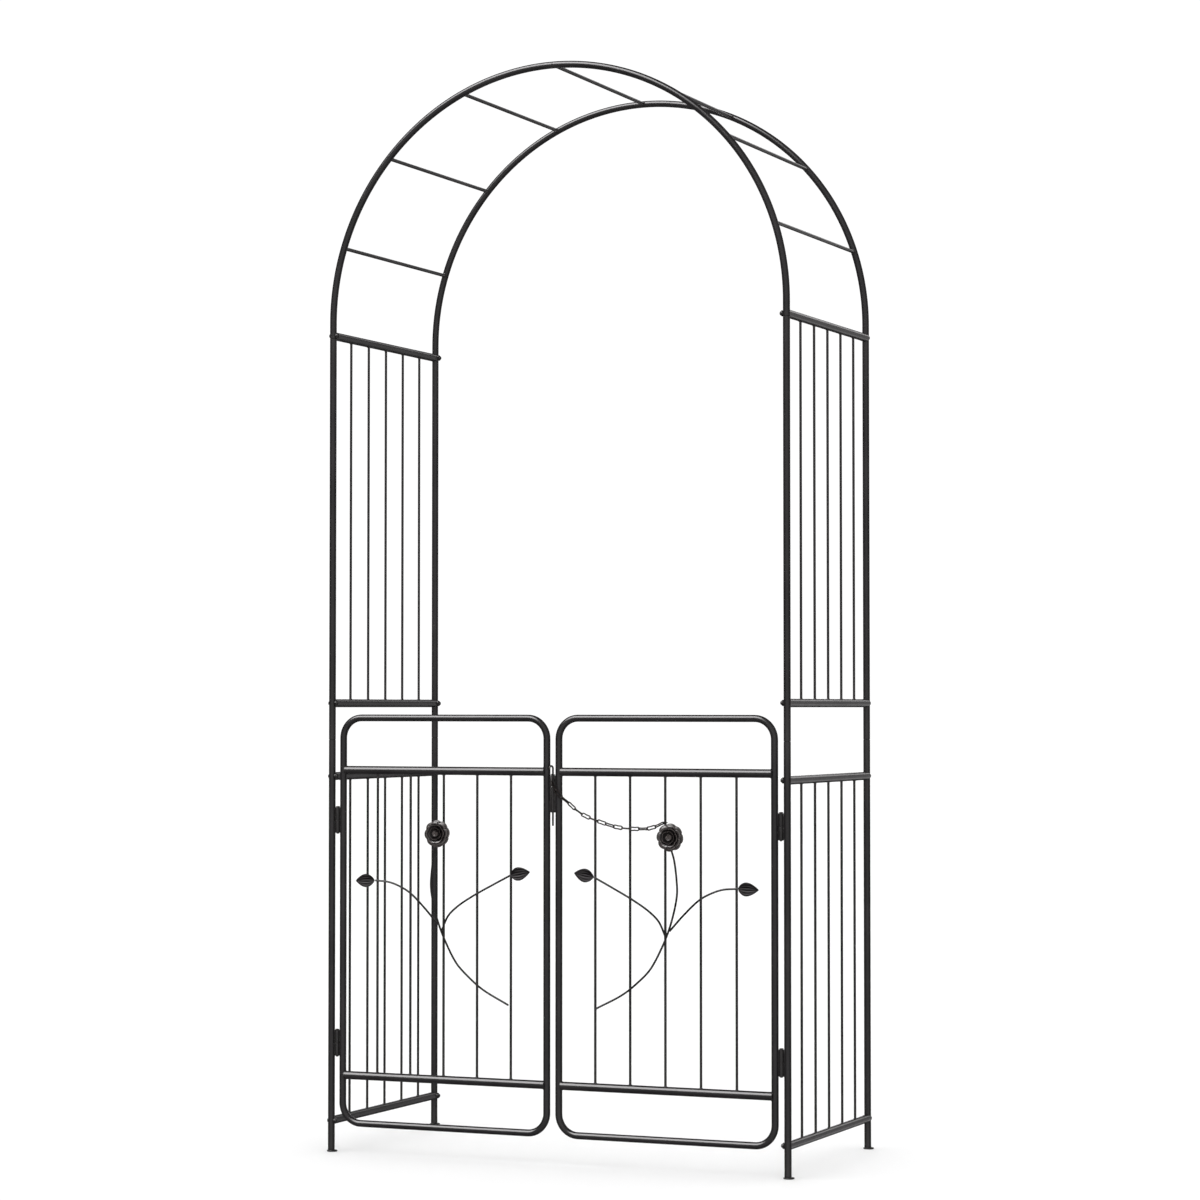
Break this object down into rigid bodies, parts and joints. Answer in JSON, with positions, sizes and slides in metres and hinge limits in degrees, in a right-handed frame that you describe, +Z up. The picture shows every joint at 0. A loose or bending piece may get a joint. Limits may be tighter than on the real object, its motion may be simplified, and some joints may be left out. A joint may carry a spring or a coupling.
{
  "type": "garden trellis arch",
  "caption": "Tall metal garden arch with rodded trellis sides, round hoops and crossbars, and a pair of low swinging gates with rose ornaments, barrel hinges and a chained latch pin.",
  "frame": {"origin": "on the ground, midway between the four posts", "axes": "+Z up, +X from the left post to the right post seen from the front, -Y out of the front, where the gates hang"},
  "size_m": [1.087, 0.5393, 2.3575],
  "materials": {
    "black_coat": "semi-gloss black powder coat",
    "cast_black": "powder-coated stamped sheet and wire",
    "dark_steel": "dark coated steel pin",
    "chain_steel": "brown-black coated chain with worn glints",
    "foot_plastic": "black moulded plastic"
  },
  "bodies": {
    "arch": {"post_lower_fl": "black_coat", "post_upper_fl": "black_coat", "foot_fl": "foot_plastic", "post_lower_fr": "black_coat", "post_upper_fr": "black_coat", "foot_fr": "foot_plastic", "post_lower_rl": "black_coat", "post_upper_rl": "black_coat", "foot_rl": "foot_plastic", "post_lower_rr": "black_coat", "post_upper_rr": "black_coat", "foot_rr": "foot_plastic", "hoop_front_l": "black_coat", "hoop_front_r": "black_coat", "hoop_sleeve_front": "dark_steel", "hoop_rear_l": "black_coat", "hoop_rear_r": "black_coat", "hoop_sleeve_rear": "dark_steel", "crossbar_1": "black_coat", "crossbar_2": "black_coat", "crossbar_3": "black_coat", "crossbar_4": "black_coat", "crossbar_5": "black_coat", "crossbar_6": "black_coat", "crossbar_7": "black_coat", "side_lower_l": "black_coat", "side_upper_l": "black_coat", "side_lower_r": "black_coat", "side_upper_r": "black_coat", "hinge_post_lower_l": "black_coat", "hinge_pin_lower_l": "dark_steel", "hinge_post_upper_l": "black_coat", "hinge_pin_upper_l": "dark_steel", "hinge_post_lower_r": "black_coat", "hinge_pin_lower_r": "dark_steel", "hinge_post_upper_r": "black_coat", "hinge_pin_upper_r": "dark_steel"},
    "gate_left": {"gate_frame_l": "black_coat", "gate_grid_l": "black_coat", "stem_l": "cast_black", "rose_l": "cast_black", "leaf_inner_l": "cast_black", "leaf_outer_l": "cast_black", "hinge_gate_lower_l": "black_coat", "hinge_gate_upper_l": "black_coat", "latch_leaf_l": "black_coat"},
    "gate_right": {"gate_frame_r": "black_coat", "gate_grid_r": "black_coat", "stem_r": "cast_black", "rose_r": "cast_black", "leaf_inner_r": "cast_black", "leaf_outer_r": "cast_black", "hinge_gate_lower_r": "black_coat", "hinge_gate_upper_r": "black_coat", "latch_leaf_r": "black_coat", "chain": "chain_steel"},
    "pin": {"latch_pin": "dark_steel"}
  },
  "joints": [
    {"name": "gate_left_swing", "type": "hinge", "parent": "arch", "child": "gate_left", "pos_m": [-0.518, -0.253, 0.48], "axis": [0, 0, 1], "range_deg": [-90, 70]},
    {"name": "gate_right_swing", "type": "hinge", "parent": "arch", "child": "gate_right", "pos_m": [0.518, -0.253, 0.48], "axis": [0, 0, 1], "range_deg": [-70, 90]},
    {"name": "latch_pin_lift", "type": "slide", "parent": "gate_right", "child": "pin", "axis": [0, 0, 1], "range_m": [0, 0.12]}
  ]
}
